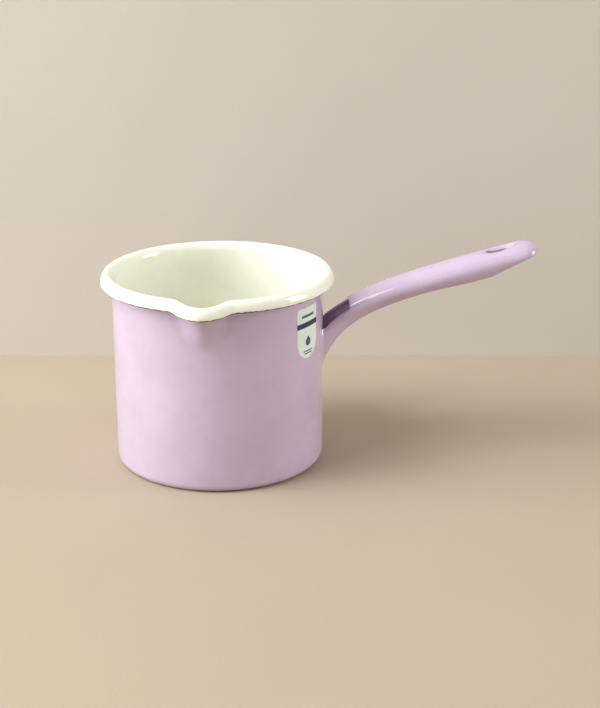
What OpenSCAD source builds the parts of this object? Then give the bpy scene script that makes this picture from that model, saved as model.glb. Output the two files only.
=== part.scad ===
// Enamelled steel melting pot with a pouring lip and a long hollow handle.
// Origin: middle of the face the pot stands on. +Z is up and +X runs out along the handle.

/* [Pot] */
// Diameter of the pot over its enamel
pot_d = 120; // [90:1:180]
// Height of the pot to the top of its rolled rim
pot_h = 112.2; // [80:0.1:180]
// Radius of the corner between base and wall, over the enamel
corner_r = 4.6; // [3:0.1:8]
// Thickness of the drawn steel
steel_t = 0.8; // [0.5:0.1:1.4]
// Thickness of each enamel coat
enamel_t = 0.3; // [0.2:0.05:0.5]

/* [Rolled rim] */
// How far the roll stands out from the wall
rim_out = 6.2; // [5:0.1:8]
// Height of the roll
rim_h = 7.4; // [6:0.1:10]
// Height of the roll's flatter lower part, up to where it is widest
rim_low = 2; // [1.8:0.1:4]
// Width of the round part of the roll
rim_w = 7.2; // [5:0.1:8]
// Height over which the wall bends out into the roll
flare_h = 4.5; // [3.5:0.1:7]

/* [Pouring lip] */
// Direction of the lip, turned from the handle about +Z
lip_angle = -98; // [-110:1:-70]
// How far the lip pushes the rim out
lip_reach = 7.2; // [4:0.1:11]
// How far the lip lowers the rim
lip_drop = 2; // [0:0.1:5]
// Half of the lip's spread round the rim, in degrees
lip_spread = 16.5; // [14:0.5:25]
// Half of the lip's spread where it starts on the wall, in degrees
lip_spread_low = 6; // [4:1:12]
// Height of the lip's shape, down from the top of the rim
lip_h = 31; // [20:1:45]

/* [Handle] */
// Distance from the pot's axis to the tip of the handle
handle_reach = 183.5; // [140:0.5:260]
// Height of the handle's middle line at its tip
tip_z = 121.3; // [90:0.1:190]
// Slope of the grip
grip_angle = 14.5; // [5:0.5:25]
// Width of the handle at its narrowest, near the pot
neck_w = 21; // [16:0.5:26]
// Width of the grip near the tip
grip_w = 24; // [18:0.5:30]
// Height of the crown above the middle line
crown_h = 7.3; // [5:0.1:9]
// Depth of the keel below the middle line, at the neck
keel_h = 7.4; // [5:0.1:9]
// Extra depth of the keel where the grip is deepest
belly_h = 1.6; // [0:0.1:3]
// Thickness of the handle's sheet steel
shell_t = 1; // [0.8:0.1:1.5]
// Gap filled by the weld between the upper and lower shell
seam_gap = 0.6; // [0.4:0.1:1]

/* [Handle foot] */
// How far the middle line drops below the straight grip line at the wall
root_drop = 13.7; // [8:0.1:18]
// Length over which that drop fades out
root_fade = 19.6; // [12:0.1:26]
// Extra depth of the foot at the wall
foot_drop = 12.7; // [6:0.1:18]
// Length over which the extra depth fades out
foot_fade = 9; // [6:0.5:14]
// Extra width of the foot at the wall
foot_flare = 6; // [0:0.5:10]
// Length of the open trough between the wall and the upper shell
trough_l = 14.5; // [8:0.5:20]
// Leg of the weld between foot and wall
weld_leg = 1.6; // [1:0.1:3]

/* [Hang slot] */
// Distance from the tip to the middle of the slot
slot_back = 22.5; // [18:0.5:32]
// Length of the slot
slot_l = 13; // [8:0.5:18]
// Width of the slot
slot_w = 6; // [4.5:0.1:9]
// Depth of the pressed hollow round the slot
slot_dish = 2.4; // [0:0.1:3]

/* [Label] */
// Direction of the label's middle, turned from the handle about +Z
label_angle = -34.8; // [-60:0.1:-28]
// Width of the label
label_w = 20; // [12:0.5:26]
// Height of the label
label_h = 29.5; // [18:0.5:36]
// Height of the label's top edge above the base
label_top = 99.4; // [70:0.1:104]
// Thickness of the label
label_t = 0.2; // [0.1:0.05:0.4]

/* [Hidden] */
$fn = 96;

lilac = [0.78, 0.66, 0.74];
cream = [0.95, 0.93, 0.80];
steel = [0.62, 0.62, 0.64];

// ---- the pot's sheet, in section ----
// d is the distance from the middle of the sheet towards the pot's inside.
pot_r = pot_d / 2;
steel_r = pot_r - enamel_t;
mid_r = steel_r - steel_t / 2;
face = steel_t / 2;
coat = face + enamel_t;
base_mid = enamel_t + steel_t / 2;
corner_mid = corner_r - coat;
roll_a = rim_w / 2 - coat;
roll_low = rim_low - coat;
roll_up = rim_h - rim_low - coat;
roll_r = pot_r + rim_out - rim_w / 2;
roll_z = pot_h - rim_h + rim_low;
flare_z = pot_h - coat - flare_h;
lip_z = pot_h - lip_h;
roll_end = -130;
cream_end = -50;
coat_end_z = flare_z - 0.5;
arc_step = 15;

// An arc whose height below its middle, low, can differ from its height above, up.
function arc(cr, cz, a, up, low, from, to) =
    let (n = ceil(abs(to - from) / arc_step))
    [for (i = [0:n])
        let (t = from + (to - from) * i / n, b = t > 0 ? up : low)
        [cr + a * cos(t), cz + b * sin(t)]];

function corner_path(d) =
    let (r = corner_mid - d) arc(mid_r - corner_mid, base_mid + corner_mid, r, r, r, -90, 0);

function base_path(d) = concat([[0, base_mid + d]], corner_path(d));

function wall_path(d, from, to, n) =
    [for (i = [0:n]) [mid_r - d, from + (to - from) * i / n]];

// The sheet's bend out of the wall and its roll, as far as angle to.
function roll_path(d, from, to) =
    arc(roll_r, roll_z, roll_a + d, roll_up + d, roll_low + d, from, to);
function rim_path(d, to) =
    concat(arc(roll_r, flare_z, roll_r - mid_r + d, flare_h + d, 0, 180, 90),
        [for (i = [1:ceil((90 - to) / arc_step)]) roll_path(d, 90, to)[i]]);

function band(near, far) = concat(near, [for (i = [len(far) - 1:-1:0]) far[i]]);

// Outlines of the pot's layers in section, between depths d0 and d1 of the sheet.
function sheet_outline(d0, d1, to) =
    band(concat(base_path(d0), rim_path(d0, to)), concat(base_path(d1), rim_path(d1, to)));
function wall_outline(d0, d1, top) =
    band(concat(corner_path(d0), [[mid_r - d0, top]]), concat(corner_path(d1), [[mid_r - d1, top]]));
function roll_outline(d0, d1, from, to) = band(roll_path(d0, from, to), roll_path(d1, from, to));

// The same outlines above the lip's start. The lip's share of a layer is thinner by tuck on each
// face and reaches past its notch, into the turned share, so that the two join without a step. At
// the foot of the notch its outer face is tucked in by tuck_foot more.
tuck = 0.02;
tuck_foot = 0.12;
tuck_rise = 1.5;
tuck_reach = 1;
tuck_turn = 0.4;
lip_from = lip_z - tuck_reach;
wall_steps = 8;
function lip_wall_path(d, foot, top) =
    concat([for (z = [lip_from, lip_z + tuck_foot]) [mid_r - d - foot, z]],
        wall_path(d, lip_z + tuck_rise, top, wall_steps));
function lip_sheet_path(d, foot, to) =
    let (wall = lip_wall_path(d, foot, flare_z))
    concat([for (i = [0:len(wall) - 2]) wall[i]], rim_path(d, to));
function lip_sheet_outline(d0, d1, to) =
    band(lip_sheet_path(d0 - tuck, 0, to + tuck_turn),
        lip_sheet_path(d1 + tuck, tuck_foot, to + tuck_turn));
function lip_wall_outline(d0, d1, top) =
    band(lip_wall_path(d0 - tuck, 0, top - tuck), lip_wall_path(d1 + tuck, tuck_foot, top - tuck));
function lip_roll_outline(d0, d1, from, to) =
    roll_outline(d0 - tuck, d1 + tuck, from - tuck_turn, to + tuck_turn);

// ---- the pouring lip ----
lip_columns = 24;
function bump(u) = abs(u) >= 1 ? 0 : pow(0.5 + 0.5 * cos(180 * u), 1.15);
function lip_lift(p) = p[0] > pot_r + 0.05 ? 1 : min(1, max(0, (p[1] - lip_z) / (flare_z - lip_z)));
function lip_push(phi, lift) =
    lip_reach * (sqrt(lift * lift + 0.02) - sqrt(0.02)) / (sqrt(1.02) - sqrt(0.02))
    * bump(phi / (lip_spread_low + (lip_spread - lip_spread_low) * sqrt(lift)));
function lip_plan(phi, lift) = (mid_r + lip_push(phi, lift)) * [cos(phi), sin(phi)];
function lip_normal(phi, lift) =
    let (t = lip_plan(phi + 0.2, lift) - lip_plan(phi - 0.2, lift)) [t[1], -t[0]] / norm(t);
function lip_point(p, phi) =
    let (lift = lip_lift(p),
        q = lip_plan(phi, lift) + lip_normal(phi, lift) * (p[0] - mid_r),
        z = p[1] - lip_drop * lip_push(phi, lift) / lip_reach)
    [q[0], q[1], z];

// Triangles that close a ring of m points, as a strip between its first half and its second.
function cap_faces(m, first, turned) =
    [for (j = [0:m / 2 - 2], half = [0:1])
        let (f = half == 0 ? [j, j + 1, m - 2 - j] : [j, m - 2 - j, m - 1 - j])
        [for (k = [0:2]) first + f[turned ? 2 - k : k]]];

// Triangles that join n closed rings of m points into one closed solid.
function ring_faces(n, m) = concat(
    cap_faces(m, 0, false),
    [for (i = [0:n - 2], j = [0:m - 1]) [i * m + j, (i + 1) * m + j, i * m + (j + 1) % m]],
    [for (i = [0:n - 2], j = [0:m - 1])
        [i * m + (j + 1) % m, (i + 1) * m + j, (i + 1) * m + (j + 1) % m]],
    cap_faces(m, (n - 1) * m, true));

module rings(all) {
    m = len(all[0]);
    polyhedron(points = [for (r = all, p = r) p], faces = ring_faces(len(all), m));
}

// The space that the lip's share of each layer fills in the turned layers.
module lip_notch() {
    r = pot_d;
    rotate([0, 0, lip_angle])
        translate([0, 0, lip_z])
            linear_extrude(height = pot_h)
                polygon([[0, 0], [r, -r * tan(lip_spread)], [r, r * tan(lip_spread)]]);
}

// A layer of the pot: turned all round, with the lip's share shaped into its notch.
module pot_layer(turned, shaped) {
    difference() {
        rotate_extrude() polygon(turned);
        lip_notch();
    }
    rotate([0, 0, lip_angle])
        rings([for (i = [0:lip_columns])
            let (phi = (lip_spread + tuck_reach / 2) * (2 * i / lip_columns - 1))
            [for (p = shaped) lip_point(p, phi)]]);
}

// ---- the handle's surface ----
// u is the distance out from the pot's axis, t the angle round the section from its -Y side.
rise = tan(grip_angle);
function mid_z(u) =
    tip_z - (handle_reach - u) * rise - root_drop * exp((pot_r - u) / root_fade);

nose = 12.5;
crown_nose = 15.5;
nose_u = handle_reach + 1.5;
end_u = handle_reach;
function ease(x) = let (c = min(1, max(0, x))) c * c * (3 - 2 * c);
function cap(u, length) =
    sqrt(max(0, 1 - pow(max(0, u - nose_u + length) / length, 2)));
function half_w(u) =
    ((neck_w + (grip_w - neck_w) * ease((u - pot_r - 25) / (handle_reach - pot_r - 60))) / 2
    + foot_flare / 2 * exp((pot_r - u) / 10)) * cap(u, nose);
function crown(u) = crown_h * cap(u, crown_nose);
function keel(u) =
    min(keel_h + belly_h * ease((u - pot_r - 55) / 35), 0.5 + 0.3 * (nose_u - u))
    + foot_drop * exp((pot_r - u) / foot_fade);
slot_u = handle_reach - slot_back;
function dish(u, y) = slot_dish * exp(-pow((u - slot_u) / 8, 2) - pow(y / 4.5, 2));
function skin(u, t) =
    let (y = -half_w(u) * cos(t), up = sin(t))
    [u, y, mid_z(u) + up * (up > 0 ? crown(u) - dish(u, y) : keel(u))];
function skin_normal(u, t) =
    let (n = cross(skin(u + 0.05, t) - skin(u - 0.05, t), skin(u, t + 0.5) - skin(u, t - 0.5)))
    n / norm(n);

seam_t = 30;
function seam_half(u) = seam_gap / 2 / crown_h * 57.3;
// How far the two shells have closed onto each other, from 0 in the hollow grip to 1 at the tip.
function closed(u) = ease((u - handle_reach + 12) / 5);
function under_skin(u, t, d) = skin(u, t) - skin_normal(u, t) * d;

// One ring of a layer: from depth d0 to depth d1 under the handle's surface, between two angles.
// Where the shells close, the inside of the ring flattens to the straight line between its ends.
function layer_ring(u, t0, t1, n, d0, d1) =
    let (a = under_skin(u, t0, d1), b = under_skin(u, t1, d1), flat = d1 > enamel_t ? closed(u) : 0)
    concat([for (i = [0:n]) under_skin(u, t0 + (t1 - t0) * i / n, d0)],
        [for (i = [n:-1:0])
            let (p = under_skin(u, t0 + (t1 - t0) * i / n, d1)) p + (a + (b - a) * i / n - p) * flat]);

function stations(from, to, n) =
    [for (i = [0:n]) let (s = i / n) from + (to - from) * (s - 0.6 * sin(360 * s) / 6.2832)];

trough_u = pot_r + trough_l;
foot_u = pot_r - 4;
function lower_from(u) = 180 - seam_t + seam_half(u) * (1 - closed(u));
function lower_to(u) = 360 + seam_t - seam_half(u) * (1 - closed(u));
function upper_from(u) = seam_t + seam_half(u) * (1 - closed(u));
function upper_to(u) = 180 - seam_t - seam_half(u) * (1 - closed(u));

module lower_layer(from, to, n, d0, d1) {
    rings([for (u = stations(from, to, n)) layer_ring(u, lower_from(u), lower_to(u), 14, d0, d1)]);
}

module upper_shell_layer(d0, d1) {
    rings([for (u = stations(trough_u, end_u, 28))
        layer_ring(u, upper_from(u), upper_to(u), 12, d0, d1)]);
}

steel_top = enamel_t;
steel_low = enamel_t + shell_t;

module slot_prism(grow, length) {
    z = mid_z(slot_u);
    translate([slot_u, 0, z])
        rotate([0, -grip_angle, 0])
            for (part = [0:2])
                if (part == 2)
                    cube([slot_l - slot_w, slot_w + 2 * grow, length], center = true);
                else
                    translate([(part * 2 - 1) * (slot_l - slot_w) / 2, 0, 0])
                        cylinder(r = slot_w / 2 + grow, h = length, center = true);
}

// The hollow between the shells, clear of both by a hair.
sleeve_gap = 0.05;
module handle_core() {
    rings([for (u = stations(trough_u, end_u - 13, 28))
        [for (i = [0:23]) under_skin(u, i * 15, steel_low + sleeve_gap)]]);
}

// A foot's outline on the wall: the distance out at which the skin at angle t meets radius r.
function wall_u(t, r, u, n) = n == 0 ? u : wall_u(t, r, sqrt(r * r - pow(skin(u, t)[1], 2)), n - 1);
function weld_ring(t) =
    let (u = wall_u(t, pot_r, pot_r, 4), a = skin(u, t), b = skin(u + weld_leg, t),
        out = [a[0], a[1], 0] / norm([a[0], a[1]]),
        n = skin_normal(u, t), w = n - (n * out) * out, c = a + w / norm(w) * weld_leg,
        k = (pot_r - 0.01) / norm([c[0], c[1]]), d = [c[0] * k, c[1] * k, c[2]])
    [a, b, (a + b + d) / 3 + (b + d - 2 * a) * 0.05, d];

module pot_cylinder(r) {
    cylinder(r = r, h = pot_h * 2, center = true);
}

module label_shape(part) {
    end_r = label_w / 2;
    if (part == "sheet")
        union() {
            translate([-label_w / 2, end_r]) square([label_w, label_h - end_r - 1.5]);
            translate([-label_w / 2 + 1.5, end_r]) square([label_w - 3, label_h - end_r]);
            for (side = [-1, 1])
                translate([side * (label_w / 2 - 1.5), label_h - 1.5]) circle(r = 1.5);
            translate([0, end_r]) circle(r = end_r);
        }
    if (part == "band")
        translate([-label_w / 2, label_h - 11.4]) square([label_w, 3]);
    if (part == "print")
        union() {
            translate([0, 9.6]) circle(r = 2.4);
            translate([0, 9.6]) rotate(45) square(2.4);
            for (row = [0:1])
                translate([-4.5 + row, 4 - row * 1.4]) square([9 - 2 * row, 0.6]);
            translate([-6, label_h - 5.6]) square([12, 1.4]);
        }
}

// A sheet that lies on the wall: the part of a thin tube inside the label's outline.
module on_wall(part, r0, r1) {
    intersection() {
        difference() {
            translate([0, 0, label_top - label_h - 2]) cylinder(r = r1, h = label_h + 4);
            translate([0, 0, label_top - label_h - 4]) cylinder(r = r0, h = label_h + 8);
        }
        rotate([0, 0, label_angle])
            translate([pot_r - 12, 0, label_top - label_h])
                rotate([90, 0, 90])
                    linear_extrude(height = 24) label_shape(part);
    }
}

// ---- the pieces ----
module pot_body() {
    color(steel)
        pot_layer(sheet_outline(face, -face, roll_end), lip_sheet_outline(face, -face, roll_end));
}

module inner_enamel() {
    color(cream)
        pot_layer(sheet_outline(coat, face, cream_end), lip_sheet_outline(coat, face, cream_end));
}

module outer_enamel() {
    color(lilac)
        difference() {
            pot_layer(wall_outline(-face, -coat, coat_end_z), lip_wall_outline(-face, -coat, coat_end_z));
            lower_layer(foot_u, end_u, 34, steel_top, steel_low);
        }
}

module base_enamel() {
    color("dimgray") cylinder(r = mid_r - corner_mid, h = enamel_t);
}

module rim_ground_coat() {
    color("dimgray")
        pot_layer(roll_outline(coat, face, cream_end, roll_end),
            lip_roll_outline(coat, face, cream_end, roll_end));
}

module handle_lower_shell() {
    color(steel)
        difference() {
            lower_layer(foot_u, end_u, 34, steel_top, steel_low);
            pot_cylinder(steel_r);
            slot_prism(0, 60);
        }
}

module handle_upper_shell() {
    color(steel)
        difference() {
            upper_shell_layer(steel_top, steel_low);
            slot_prism(0, 60);
        }
}

module slot_sleeve() {
    color(steel)
        intersection() {
            difference() {
                slot_prism(shell_t, 50);
                slot_prism(0, 60);
            }
            handle_core();
        }
}

module seam_welds() {
    color(steel)
        for (side = [0:1])
            rings([for (u = stations(trough_u, handle_reach - 10, 20))
                let (mid = side == 0 ? seam_t : 180 - seam_t, h = seam_half(u) * (1 - closed(u)))
                layer_ring(u, mid - h, mid + h, 1, steel_top, steel_low)]);
}

module handle_weld() {
    color(lilac) rings([for (i = [0:28]) weld_ring(180 - seam_t + (180 + 2 * seam_t) * i / 28)]);
}

module handle_lower_enamel() {
    color(lilac)
        difference() {
            lower_layer(foot_u, end_u, 34, 0, steel_top);
            pot_cylinder(pot_r);
            slot_prism(0, 60);
        }
}

module handle_upper_enamel() {
    color(lilac)
        difference() {
            upper_shell_layer(0, steel_top);
            slot_prism(0, 60);
        }
}

module trough_enamel() {
    color(lilac)
        difference() {
            lower_layer(foot_u, trough_u, 12, steel_low, steel_low + enamel_t);
            pot_cylinder(pot_r);
        }
}

module label() {
    color("honeydew") on_wall("sheet", pot_r, pot_r + label_t);
}

module label_band() {
    color("midnightblue") on_wall("band", pot_r + label_t, pot_r + label_t + 0.1);
}

module label_print() {
    color("darkslategray") on_wall("print", pot_r + label_t, pot_r + label_t + 0.1);
}

pot_body();
inner_enamel();
outer_enamel();
base_enamel();
rim_ground_coat();
handle_lower_shell();
handle_upper_shell();
slot_sleeve();
seam_welds();
handle_weld();
handle_lower_enamel();
handle_upper_enamel();
trough_enamel();
label();
label_band();
label_print();
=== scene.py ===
import math

import bpy
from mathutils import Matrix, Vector


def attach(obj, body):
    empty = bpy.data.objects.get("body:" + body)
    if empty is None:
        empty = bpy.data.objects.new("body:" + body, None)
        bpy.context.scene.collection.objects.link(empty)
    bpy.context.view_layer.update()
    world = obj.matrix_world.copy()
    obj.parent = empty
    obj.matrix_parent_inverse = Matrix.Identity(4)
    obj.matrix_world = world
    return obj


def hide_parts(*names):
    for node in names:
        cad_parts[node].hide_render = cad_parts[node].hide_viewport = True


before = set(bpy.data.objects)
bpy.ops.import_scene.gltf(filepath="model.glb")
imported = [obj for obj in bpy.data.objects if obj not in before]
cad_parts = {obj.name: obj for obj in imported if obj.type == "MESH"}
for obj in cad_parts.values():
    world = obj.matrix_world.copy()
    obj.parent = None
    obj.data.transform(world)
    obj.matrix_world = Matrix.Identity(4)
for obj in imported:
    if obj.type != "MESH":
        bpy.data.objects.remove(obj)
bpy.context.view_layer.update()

# ---- sizes, in millimetres ----
MM = 0.001
POT_R, POT_H = 60.0, 112.2
FACE, COAT = 0.4, 0.7  # the steel's and the enamel's faces, from the middle of the sheet
MID_R = POT_R - COAT
BASE_MID = COAT
CORNER_MID = 3.9
ROLL_A, ROLL_UP, ROLL_LOW = 2.9, 4.7, 1.3
ROLL_R, ROLL_Z = 62.6, 106.8
FLARE_H = 4.5
FLARE_Z = POT_H - COAT - FLARE_H
COAT_END_Z = FLARE_Z - 0.5
CREAM_END, ROLL_END = -50, -130

LIP_ANGLE, LIP_REACH, LIP_DROP = -98, 7.2, 2
LIP_SPREAD, LIP_SPREAD_LOW = 16.5, 6
LIP_Z = POT_H - 31

REACH, TIP_Z = 183.5, 121.3
RISE = math.tan(math.radians(14.5))
ROOT_DROP, ROOT_FADE = 13.7, 19.6
NECK_W, GRIP_W = 21, 24
FOOT_FLARE, FLARE_FADE = 3, 10
CROWN_H, KEEL_H, BELLY_H = 7.3, 7.4, 1.6
FOOT_DROP, FOOT_FADE = 12.7, 9
NOSE_U = REACH + 1.5
NOSE_L, NOSE_CROWN_L, NOSE_KEEL_L = 12.5, 15.5, 3  # how far back from the nose each outline turns in
TROUGH_U = POT_R + 14.5
SEAM_T = 30  # degrees from the widest line up to the seam
SLOT_U, SLOT_L, SLOT_W, SLOT_DISH = REACH - 22.5, 13, 6, 2.4
SHELL = 1.6  # a handle shell with its enamel on both faces
WELD_LEG = 1.6

SPIN_STEPS = 288
MERGE = 1e-6  # in metres: vertices nearer than this are one
SMOOTH = math.radians(40)  # edges flatter than this are shaded smooth


# ---- mesh tools ----
def start(name):
    """A mesh of one vertex at the origin, in edit mode."""
    bpy.ops.object.select_all(action="DESELECT")
    bpy.ops.mesh.primitive_plane_add(size=MM)
    obj = bpy.context.object
    obj.name = obj.data.name = name
    bpy.ops.object.mode_set(mode="EDIT")
    bpy.ops.mesh.select_all(action="SELECT")
    bpy.ops.mesh.merge(type="CENTER")
    return obj


def draw(points):
    """Moves the selected vertex to the first point and extrudes it along the others."""
    bpy.ops.transform.translate(value=points[0])
    for a, b in zip(points, points[1:]):
        bpy.ops.mesh.extrude_region_move(TRANSFORM_OT_translate={"value": b - a})


def tidy():
    """Closes the mesh, turns its faces outwards and leaves edit mode."""
    bpy.ops.mesh.select_all(action="SELECT")
    bpy.ops.mesh.remove_doubles(threshold=MERGE)
    bpy.ops.mesh.dissolve_degenerate(threshold=MERGE)
    bpy.ops.mesh.select_all(action="SELECT")
    bpy.ops.mesh.fill_holes(sides=0)
    bpy.ops.mesh.select_all(action="SELECT")
    bpy.ops.mesh.normals_make_consistent(inside=False)
    bpy.ops.object.mode_set(mode="OBJECT")


def pick(obj):
    """Makes the object the only selected one, and the active one."""
    bpy.ops.object.select_all(action="DESELECT")
    obj.select_set(True)
    bpy.context.view_layer.objects.active = obj


def dress(obj, material):
    obj.data.materials.clear()
    obj.data.materials.append(material)


def done(obj, material, slot, *nodes):
    """Shades a finished piece, dresses it, hangs it on the root body and hides the CAD nodes it stands for."""
    pick(obj)
    bpy.ops.object.shade_smooth_by_angle(angle=SMOOTH)
    dress(obj, material)
    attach(obj, "root")
    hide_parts(*nodes)


def revolve(name, outline):
    """A closed outline of (radius, height) pairs, turned all the way round the axis."""
    obj = start(name)
    points = [Vector((r * MM, 0, z * MM)) for r, z in outline]
    draw(points + points[:1])
    bpy.ops.mesh.select_all(action="SELECT")
    bpy.ops.mesh.remove_doubles(threshold=MERGE)
    bpy.ops.mesh.spin(steps=SPIN_STEPS, angle=math.tau, center=(0, 0, 0), axis=(0, 0, 1))
    tidy()
    return obj


def loft(name, rows, columns, place):
    """A flat sheet of unit steps, drawn out row by row and then wrapped onto place(row, column)."""
    obj = start(name)
    draw([Vector((0, j, 0)) for j in range(columns)])
    bpy.ops.mesh.select_all(action="SELECT")
    for _ in range(rows - 1):
        bpy.ops.mesh.extrude_region_move(TRANSFORM_OT_translate={"value": (1, 0, 0)})
    bpy.ops.object.mode_set(mode="OBJECT")
    for v in obj.data.vertices:
        v.co = Vector(place(round(v.co.x), round(v.co.y))) * MM
    bpy.ops.object.mode_set(mode="EDIT")
    tidy()
    return obj


def cut(obj, cutter):
    """Takes the cutter's space out of the object."""
    pick(obj)
    mod = obj.modifiers.new("cut", "BOOLEAN")
    mod.operation, mod.object, mod.solver = "DIFFERENCE", cutter, "EXACT"
    bpy.ops.object.modifier_apply(modifier=mod.name)


# ---- the pot, in section ----
def arc(cr, cz, a, up, low, begin, end, step=5):
    """An arc whose height below its middle, low, can differ from its height above, up."""
    n = max(1, math.ceil(abs(end - begin) / step))
    turns = [math.radians(begin + (end - begin) * i / n) for i in range(n + 1)]
    return [(cr + a * math.cos(t), cz + (up if t > 0 else low) * math.sin(t)) for t in turns]


# Each path runs along the sheet at the distance d from its middle, on the cream side where d is above 0.
def corner_path(d):
    r = CORNER_MID - d
    return arc(MID_R - CORNER_MID, BASE_MID + CORNER_MID, r, r, r, -90, 0, 9)


def wall_path(d, top, n_low=12, n_high=24):
    """The upright wall, with its rows closer together above LIP_Z, where the lip is pressed."""
    rise = LIP_Z - BASE_MID - CORNER_MID
    low = [(MID_R - d, BASE_MID + CORNER_MID + rise * i / n_low) for i in range(1, n_low)]
    return low + [(MID_R - d, LIP_Z + (top - LIP_Z) * i / n_high) for i in range(n_high + 1)]


def roll_path(d, begin, end):
    return arc(ROLL_R, ROLL_Z, ROLL_A + d, ROLL_UP + d, ROLL_LOW + d, begin, end)


def rim_path(d, end):
    flare = arc(ROLL_R, FLARE_Z, ROLL_R - MID_R + d, FLARE_H + d, 0, 180, 90)
    return flare[1:] + roll_path(d, 90, end)[1:]


def sheet_path(d, end):
    return [(0, BASE_MID + d)] + corner_path(d) + wall_path(d, FLARE_Z) + rim_path(d, end)


def bump(u):
    """A smooth hump, 1 in the middle and 0 from -1 and 1 outwards."""
    return 0 if abs(u) >= 1 else (0.5 + 0.5 * math.cos(math.pi * u)) ** 1.15


def lip_push(phi, lift):
    """How far out the wall is pressed, phi degrees from the lip's middle and lift of the way up to the rim."""
    soft = 0.02
    top = (math.sqrt(lift * lift + soft) - math.sqrt(soft)) / (math.sqrt(1 + soft) - math.sqrt(soft))
    return LIP_REACH * top * bump(phi / (LIP_SPREAD_LOW + (LIP_SPREAD - LIP_SPREAD_LOW) * math.sqrt(lift)))


def lip_plan(phi, lift):
    """The pressed wall's middle, seen from above, with the lip's own direction as x."""
    r, t = MID_R + lip_push(phi, lift), math.radians(phi)
    return Vector((r * math.cos(t), r * math.sin(t)))


def press_lip(obj):
    """Pushes the wall and the rim out and down where the pouring lip is."""
    turn = math.radians(LIP_ANGLE)
    for v in obj.data.vertices:
        r, z = math.hypot(v.co.x, v.co.y) / MM, v.co.z / MM
        phi = (math.degrees(math.atan2(v.co.y, v.co.x)) - LIP_ANGLE + 180) % 360 - 180
        if abs(phi) >= LIP_SPREAD or z <= LIP_Z:
            continue
        lift = 1 if r > POT_R + 0.05 else min(1, (z - LIP_Z) / (FLARE_Z - LIP_Z))
        run = lip_plan(phi + 0.2, lift) - lip_plan(phi - 0.2, lift)
        out = Vector((run.y, -run.x)).normalized()
        p = lip_plan(phi, lift) + out * (r - MID_R)
        v.co.x = (p.x * math.cos(turn) - p.y * math.sin(turn)) * MM
        v.co.y = (p.x * math.sin(turn) + p.y * math.cos(turn)) * MM
        v.co.z -= LIP_DROP * lip_push(phi, lift) / LIP_REACH * MM


# ---- the handle's surface ----
def ease(x):
    """0 up to 0 and 1 from 1 on, smooth in between."""
    c = min(1, max(0, x))
    return c * c * (3 - 2 * c)


def cap(u, length):
    """1 along the handle, falling to 0 as a quarter of an ellipse over the given length at the nose."""
    return math.sqrt(max(0, 1 - (max(0, u - NOSE_U + length) / length) ** 2))


def mid_z(u):
    return TIP_Z - (REACH - u) * RISE - ROOT_DROP * math.exp((POT_R - u) / ROOT_FADE)


def skin(u, t):
    """A point of the handle's surface: u out from the pot's axis, t degrees round the section."""
    w = u + (NOSE_U - REACH) * ease((u - REACH + 12) / 12)
    across, up = math.cos(math.radians(t)), math.sin(math.radians(t))
    widen = ease((w - POT_R - 25) / (REACH - POT_R - 60))
    half = (NECK_W + (GRIP_W - NECK_W) * widen) / 2 + FOOT_FLARE * math.exp((POT_R - w) / FLARE_FADE)
    half *= cap(w, NOSE_L)
    y = -half * across
    if up > 0:
        away = ((u - SLOT_U) / 8) ** 2 + (y / 4.5) ** 2
        height = CROWN_H * cap(w, NOSE_CROWN_L) - SLOT_DISH * math.exp(-away)
    else:
        keel = KEEL_H + BELLY_H * ease((w - POT_R - 55) / 35)
        height = min(keel, 0.5 + 0.3 * (NOSE_U - w)) * cap(w, NOSE_KEEL_L)
        height += FOOT_DROP * math.exp((POT_R - w) / FOOT_FADE)
    return Vector((u, y, mid_z(u) + up * height))


def skin_normal(u, t):
    """The direction straight out of the handle's surface."""
    u = min(u, REACH - 0.06)
    return (skin(u + 0.05, t) - skin(u - 0.05, t)).cross(skin(u, t + 0.5) - skin(u, t - 0.5)).normalized()


def under(u, t, d):
    """The point d millimetres under the handle's surface."""
    return skin(u, t) - skin_normal(u, t) * d if d else skin(u, t)


def slot_edge(u, y):
    """How far a place is outside the slot's outline."""
    return math.hypot(max(0, abs(u - SLOT_U) - (SLOT_L - SLOT_W) / 2), y) - SLOT_W / 2


# ---- shader tools ----
class Num:
    """A node's output that can be reckoned with."""

    def __init__(self, mat, socket):
        self.mat, self.socket = mat, socket

    def op(self, name, *values):
        return self.mat.node("ShaderNodeMath", {"operation": name}, self, *values)

    def __add__(self, other):
        return self.op("ADD", other)

    def __sub__(self, other):
        return self.op("SUBTRACT", other)

    def __rsub__(self, other):
        return self.mat.node("ShaderNodeMath", {"operation": "SUBTRACT"}, other, self)

    def __mul__(self, other):
        return self.op("MULTIPLY", other)

    __radd__, __rmul__ = __add__, __mul__

    def step(self, low, high):
        """0 below low and 1 above high, smooth in between. With low above high it falls."""
        smooth = {"interpolation_type": "SMOOTHSTEP"}
        return self.mat.node("ShaderNodeMapRange", smooth, self, low, high, 0.0, 1.0)


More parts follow.
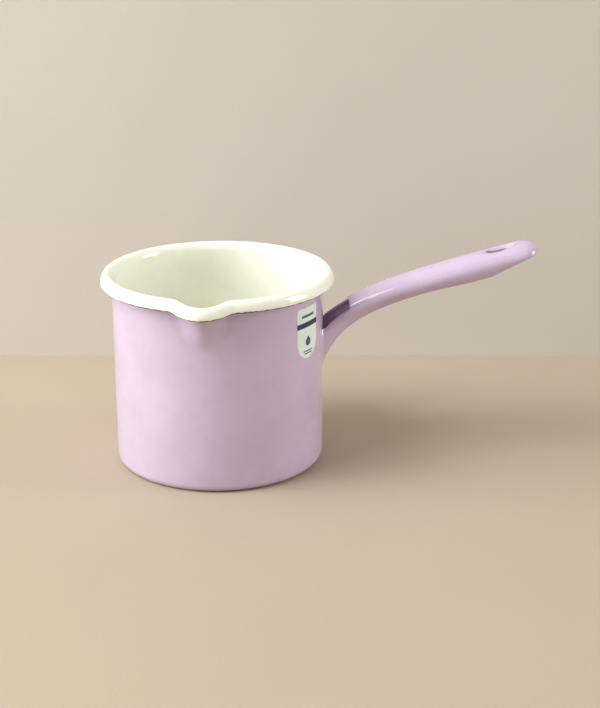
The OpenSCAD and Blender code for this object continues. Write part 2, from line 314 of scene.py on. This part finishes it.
class Mat:
    """A Principled material whose sockets are set by name."""

    def __init__(self, name):
        self.material = bpy.data.materials.new(name)
        self.material.use_nodes = True
        self.tree = self.material.node_tree
        self.shader = self.tree.nodes["Principled BSDF"]
        self.place = self.node("ShaderNodeTexCoord", {}, out="Object")

    def node(self, kind, settings, *values, out=0, **named):
        n = self.tree.nodes.new(kind)
        for key, value in settings.items():
            setattr(n, key, value)
        for key, value in [*enumerate(values), *named.items()]:
            self.put(n.inputs[key], value)
        return Num(self, n.outputs[out])

    def put(self, socket, value):
        if isinstance(value, Num):
            self.tree.links.new(value.socket, socket)
        else:
            socket.default_value = value

    def set(self, **values):
        for key, value in values.items():
            self.put(self.shader.inputs[key.replace("_", " ")], value)

    def noise(self, scale, detail=2.0, rough=0.5, stretch=None, shift=0.0):
        where = self.place
        if stretch or shift:
            where = self.node("ShaderNodeMapping", {}, where, Location=(shift,) * 3, Scale=stretch or (1, 1, 1))
        return self.node("ShaderNodeTexNoise", {}, Vector=where, Scale=scale, Detail=detail, Roughness=rough)

    def cells(self, scale):
        return self.node("ShaderNodeTexVoronoi", {}, Vector=self.place, Scale=scale, out="Distance")

    def axis(self, which):
        return self.node("ShaderNodeSeparateXYZ", {}, self.place, out=which)

    def mix(self, factor, a, b):
        n = self.tree.nodes.new("ShaderNodeMix")
        n.data_type = "RGBA"
        self.put(n.inputs[0], factor)
        for socket, value in ((n.inputs[6], a), (n.inputs[7], b)):
            self.put(socket, value if isinstance(value, Num) else (*value, 1.0))
        return Num(self, n.outputs[2])

    def bump(self, height, distance, strength=1.0, normal=None):
        named = {"Strength": strength, "Distance": distance, "Height": height}
        if normal:
            named["Normal"] = normal
        return self.node("ShaderNodeBump", {}, **named)


def rgb(*screen):
    """A colour given as on a screen, from 0 to 255."""
    parts = [c / 255 for c in screen]
    return tuple(c / 12.92 if c <= 0.04045 else ((c + 0.055) / 1.055) ** 2.4 for c in parts)


def enamel(name, colour, thin_and_shade, rough, edge=None, bare=None):
    """Glassy enamel: a slow drift of tone, orange peel, pinholes, faint rub marks.

    edge gives 1 where the coat is darkened at its ends, partly as painted shade, and bare the colour that shows
    there.
    """
    m = Mat(name)
    drift = m.noise(22.0, 3.0, shift=0.3).step(0.3, 0.7)
    pale = tuple(min(1.0, c * 1.05) for c in colour)
    deep = tuple(c * 0.94 for c in colour)
    tone = m.mix(drift, deep, pale)
    cloud = m.noise(140.0, 4.0).step(0.45, 0.8)
    tone = m.mix(cloud * 0.12, tone, thin_and_shade)
    pin = m.cells(260.0).step(0.045, 0.02)
    rare = m.noise(90.0, 0.0, shift=1.7).step(0.62, 0.66)
    speck = pin * rare
    tone = m.mix(speck * 0.5, tone, thin_and_shade)
    if edge:
        # Darker at the coat's ends: thin enamel and bare ground coat, with painted shade under the roll and
        # round the foot.
        tone = m.mix(edge(m), tone, bare or thin_and_shade)
    peel = m.noise(620.0, 2.0, 0.4)
    wave = m.noise(55.0, 1.0, 0.4, shift=0.9)
    rub = m.noise(75.0, 5.0, 0.65, stretch=(1, 1, 6), shift=2.2).step(0.5, 0.75)
    low = m.bump(wave, 0.0008, 0.35)
    fine = m.bump(peel, 0.00006, 0.5, low)
    m.set(
        Base_Color=tone,
        Roughness=rub * 0.09 + speck * 0.3 + rough,
        Normal=m.bump(speck, 0.00005, -0.6, fine),
        Coat_Roughness=0.04,
        Coat_IOR=1.5,
        Coat_Weight=0.35,
        IOR=1.5,
    )
    return m.material


def steel(name):
    m = Mat(name)
    grain = m.noise(300.0, 4.0, stretch=(1, 1, 0.05))
    tone = m.mix(m.noise(40.0, 4.0).step(0.35, 0.7), (0.30, 0.29, 0.29), (0.46, 0.45, 0.44))
    m.set(Base_Color=tone, Metallic=1.0, Roughness=grain * 0.25 + 0.28, Normal=m.bump(grain, 0.00004))
    return m.material


def paper(name):
    m = Mat(name)
    fibre = m.noise(900.0, 4.0, 0.6)
    tone = m.mix(m.noise(120.0, 3.0).step(0.3, 0.7), rgb(219, 229, 222), rgb(231, 237, 230))
    m.set(Base_Color=tone, Roughness=fibre * 0.2 + 0.32, Normal=m.bump(fibre, 0.00003, 0.5))
    return m.material


def ink(name, colour):
    m = Mat(name)
    press = m.noise(1500.0, 3.0, 0.6)
    tone = m.mix(press.step(0.55, 0.75) * 0.35, colour, rgb(150, 158, 165))
    m.set(Base_Color=tone, Roughness=press * 0.2 + 0.35, Normal=m.bump(press, 0.00002, 0.5))
    return m.material


def card(name, colour, deep):
    """A sheet of plain card for the floor and the backdrop, seen from its front only."""
    m = Mat(name)
    fibre = m.noise(700.0, 5.0, 0.65)
    tone = m.mix(m.noise(5.0, 3.0).step(0.2, 0.8) * 0.5, colour, deep)
    tone = m.mix(fibre.step(0.3, 0.75) * 0.4, tone, deep)
    m.set(Base_Color=tone, Roughness=0.82, Normal=m.bump(fibre, 0.0001, 0.35))
    m.set(Alpha=1 - m.node("ShaderNodeNewGeometry", {}, out="Backfacing"))
    return m.material


LILAC, LILAC_THIN_AND_SHADE = (0.585, 0.455, 0.595), (0.44, 0.28, 0.34)
CREAM, CREAM_THIN = (0.94, 0.935, 0.81), (0.62, 0.56, 0.40)
GROUND, GROUND_THIN = (0.055, 0.045, 0.042), (0.12, 0.08, 0.06)


FAR_FROM_EDGE = 20


def ground_coat_and_painted_shade_edge(m):
    """The cream coat goes dark along its edge under the roll: partly the dark ground coat showing through,
    partly painted shade under the roll. The attribute is a height in millimetres.
    """
    edge = m.node("ShaderNodeAttribute", {"attribute_name": "edge"}, out="Fac")
    ragged = m.noise(260.0, 3.0, 0.7) - 0.5
    return (edge + ragged * 1.8).step(-0.5, -0.75)


def thin_and_painted_shade_ends(m):
    """The lilac coat goes darker round the foot's corner and where it ends under the roll: partly thinner
    enamel, partly painted shade where the foot meets the floor and under the roll.
    """
    z = m.axis("Z")
    wander = m.noise(60.0, 3.0) * 0.0016
    return (z + wander).step(0.0035, 0.0006) * 0.55 + (z - wander).step(0.1052, 0.1066) * 0.4


lilac_wall = enamel("lilac_wall_enamel", LILAC, LILAC_THIN_AND_SHADE, 0.16, thin_and_painted_shade_ends)
lilac = enamel("lilac_enamel", LILAC, LILAC_THIN_AND_SHADE, 0.14)
cream = enamel("cream_enamel", CREAM, CREAM_THIN, 0.10, ground_coat_and_painted_shade_edge, GROUND)
ground = enamel("ground_enamel", GROUND, GROUND_THIN, 0.3)
bare = steel("sheet_steel")

# ---- the pot ----
cream_coat = revolve("cream_coat", sheet_path(COAT, CREAM_END) + sheet_path(FACE, CREAM_END)[::-1])
mark = cream_coat.data.attributes.new("edge", "FLOAT", "POINT")
for v, m in zip(cream_coat.data.vertices, mark.data):
    r, z = math.hypot(v.co.x, v.co.y) / MM, v.co.z / MM
    m.value = z - ROLL_Z if r > ROLL_R and z > ROLL_Z - 3 else FAR_FROM_EDGE
press_lip(cream_coat)
done(cream_coat, cream, "cream_enamel", "inner_enamel")

ring = revolve("rim_ring", roll_path(COAT, CREAM_END, ROLL_END) + roll_path(FACE, ROLL_END, CREAM_END))
press_lip(ring)
done(ring, ground, "ground_enamel", "rim_ground_coat")

outside = corner_path(-COAT) + wall_path(-COAT, COAT_END_Z)
inside = corner_path(-FACE) + wall_path(-FACE, COAT_END_Z)
wall = revolve("lilac_coat", outside + inside[::-1])
press_lip(wall)
done(wall, lilac_wall, "lilac_enamel", "outer_enamel")


# ---- the handle ----
LOWER, UPPER = -1, 1
END_ROUND = 0.45  # the radius at the upper shell's open end


def stations(begin, n, n_begin=6, n_nose=36, nose=12):
    """Stations along the handle, close together at its beginning and round its nose."""
    start_bend = [begin + END_ROUND * (1 - math.cos(math.pi / 2 * i / n_begin)) for i in range(n_begin + 1)]
    straight = [begin + (REACH - nose - begin) * i / n for i in range(1, n)]
    end_bend = [REACH - nose + nose * math.sin(math.pi / 2 * i / n_nose) for i in range(n_nose + 1)]
    return start_bend + straight + end_bend


MM_TURN = 6.8  # degrees round the section to a millimetre, at the seam


def seam_shape(u, near, side):
    """How far a shell is raised, near millimetres from its edge along the seam.

    The lower shell's round edge stands proud of the upper one, less and less towards the nose.
    """
    fade = ease((TROUGH_U + 16 - u) / 12)
    if side == UPPER:
        return fade * (-0.25 * math.exp(-((near / 0.6) ** 2)))
    return fade * (0.5 * math.exp(-(((near - 0.4) / 0.35) ** 2)))


def shell_row(u, t0, t1, side, n_out=132, n_in=24, n_edge=6):
    """One section of a shell: its outside, a round edge, its inside and the other edge."""
    thick = SHELL + (0.5 - SHELL) * ease((u - REACH + 14) / 8)
    open_edge = ease((TROUGH_U + 0.6 - u) / 0.6) if side == LOWER else 0
    radius = 0.02 + (thick / 2 - 0.03) * open_edge
    room = min(1, max(0.02, (REACH - u) / 3))
    t0, t1 = t0 + radius * MM_TURN, t1 - radius * MM_TURN
    row = []
    for j in range(n_out + 1):
        t = t0 + (t1 - t0) * (j / n_out - 0.35 * math.sin(math.tau * j / n_out) / math.tau)
        near = min(t - t0, t1 - t) / MM_TURN
        proud = seam_shape(u, near, side) if u > TROUGH_U - 0.5 else 0
        if side == UPPER:
            edge = slot_edge(u, skin(u, t).y)
            proud -= 0.7 * math.exp(-(max(0, edge) ** 2)) if edge < 4 else 0
            if u < TROUGH_U + END_ROUND:
                proud -= END_ROUND - math.sqrt(max(0, END_ROUND**2 - (TROUGH_U + END_ROUND - u) ** 2))
        row.append(under(u, t, -proud))
    for j in range(1, n_edge):
        a = math.pi * j / n_edge
        row.append(under(u, t1 + radius * math.sin(a) * MM_TURN, thick / 2 * (1 - math.cos(a)) * room))
    for j in range(n_in + 1):
        row.append(under(u, t1 + (t0 - t1) * j / n_in, thick * room))
    for j in range(1, n_edge):
        a = math.pi * j / n_edge
        row.append(under(u, t0 - radius * math.sin(a) * MM_TURN, thick / 2 * (1 + math.cos(a)) * room))
    return row + row[:1]


def shell(name, places, t0, t1, side):
    """A shell of the handle, between t0 and t1 degrees round the section, with the slot cut in it."""
    rows = [shell_row(u, t0, t1, side) for u in places]
    obj = loft(name, len(rows), len(rows[0]), lambda i, j: rows[i][j])
    cut(obj, slot_cutter)
    return obj


bpy.ops.object.select_all(action="DESELECT")
bpy.ops.mesh.primitive_cylinder_add(vertices=96, radius=SLOT_W / 2 * MM, depth=60 * MM)
slot_cutter = bpy.context.object
for v in slot_cutter.data.vertices:
    v.co.x += math.copysign((SLOT_L - SLOT_W) / 2 * MM, v.co.x)
slot_cutter.location = (SLOT_U * MM, 0, mid_z(SLOT_U) * MM)
slot_cutter.rotation_euler = (0, -math.atan(RISE), 0)
bpy.ops.object.transform_apply(location=True, rotation=True)

lower = shell("handle_lower", stations(POT_R - 2.5, 120), 180 - SEAM_T, 360 + SEAM_T, LOWER)
upper = shell("handle_upper", stations(TROUGH_U, 110), SEAM_T, 180 - SEAM_T, UPPER)
bpy.data.objects.remove(slot_cutter)


def weld_row(t, n=6):
    """One section of the weld's fillet: the corner, then a hollow curve from the foot's skin to the wall."""
    u = POT_R
    for _ in range(4):
        u = math.sqrt(POT_R**2 - skin(u, t).y ** 2)
    corner, on_foot = skin(u, t), skin(u + WELD_LEG, t)
    out = Vector((corner.x, corner.y, 0)).normalized()
    w = skin_normal(u, t)
    c = corner + (w - out * w.dot(out)).normalized() * WELD_LEG
    k = (POT_R - 0.01) / math.hypot(c.x, c.y)
    on_wall = Vector((c.x * k, c.y * k, c.z))
    hollow = (corner + on_foot + on_wall) / 3
    steps = [i / n for i in range(n + 1)]
    curve = [on_foot * (1 - s) ** 2 + hollow * 2 * s * (1 - s) + on_wall * s * s for s in steps]
    return [corner, *curve, corner]


WELD_ROWS = 121
welds = [weld_row(180 - SEAM_T + (180 + 2 * SEAM_T) * i / (WELD_ROWS - 1)) for i in range(WELD_ROWS)]
weld = loft("handle_fillet", len(welds), len(welds[0]), lambda i, j: welds[i][j])
done(weld, lilac, "lilac_enamel", "handle_weld")
done(lower, lilac, "lilac_enamel", "handle_lower_enamel", "handle_lower_shell", "trough_enamel")
done(upper, lilac, "lilac_enamel", "handle_upper_enamel", "handle_upper_shell", "seam_welds")

for node, material in (
    ("pot_body", bare),
    ("slot_sleeve", lilac),
    ("base_enamel", ground),
    ("label", paper("label_paper")),
    ("label_band", ink("band_ink", rgb(28, 36, 66))),
    ("label_print", ink("print_ink", rgb(70, 82, 98))),
):
    dress(bpy.data.objects[node], material)


# ---- the room ----
def aim(obj, target):
    """Turns a lamp or the camera so that it looks at the target."""
    obj.rotation_euler = (Vector(target) - obj.location).to_track_quat("-Z", "Y").to_euler()


def lamp(name, place, target, size, energy, colour, tall=None):
    """An oblong lamp, square unless tall is given. Metres and watts."""
    data = bpy.data.lights.new(name, "AREA")
    data.energy, data.color = energy, colour
    data.shape = "RECTANGLE"
    data.size, data.size_y = size, tall or size
    obj = bpy.data.objects.new(name, data)
    bpy.context.scene.collection.objects.link(obj)
    obj.location = place
    aim(obj, target)


YAW = math.radians(3.32)
CARD, BEHIND = 6, 0.175  # in metres: a card's side, and the backdrop's distance from the pot's axis
bpy.ops.object.select_all(action="DESELECT")
bpy.ops.mesh.primitive_plane_add(size=CARD, location=(0, -1.5, 0))
floor = bpy.context.object
floor.name = "floor"
floor.data.materials.append(card("floor_card", rgb(184, 167, 148), rgb(174, 157, 138)))
foot = (BEHIND * math.sin(YAW), BEHIND * math.cos(YAW), CARD / 2 - 0.01)
bpy.ops.mesh.primitive_plane_add(size=CARD, location=foot)
backdrop = bpy.context.object
backdrop.name = "backdrop"
backdrop.rotation_euler = (math.radians(90), 0, -YAW)
backdrop.data.materials.append(card("backdrop_card", rgb(210, 199, 187), rgb(203, 192, 179)))

lamp("key", (-2.0, -0.25, 0.72), (0, 0, 0.06), 1.4, 51, (0.87, 0.98, 1.0))
lamp("top", (-1.0, -0.45, 1.5), (0, 0, 0.06), 1.0, 22, (0.97, 0.99, 1.0))
lamp("fill", (2.0, -0.25, 0.5), (0, 0, 0.06), 0.7, 21, (0.94, 1.0, 1.0), 1.2)

world = bpy.data.worlds.new("room")
bpy.context.scene.world = world
world.use_nodes = True
glow = world.node_tree.nodes["Background"]
glow.inputs["Color"].default_value = (0.98, 1.0, 1.0, 1.0)
glow.inputs["Strength"].default_value = 0.45

data = bpy.data.cameras.new("camera")
data.sensor_width, data.sensor_fit, data.lens = 36, "AUTO", 75.05
cam = bpy.data.objects.new("camera", data)
bpy.context.scene.collection.objects.link(cam)
cam.location = (0, -0.80846, 0.33857)
aim(cam, cam.location + Vector((0.05480, 0.94409, -0.32509)))
bpy.context.scene.camera = cam
bpy.context.scene.view_settings.view_transform = "Standard"
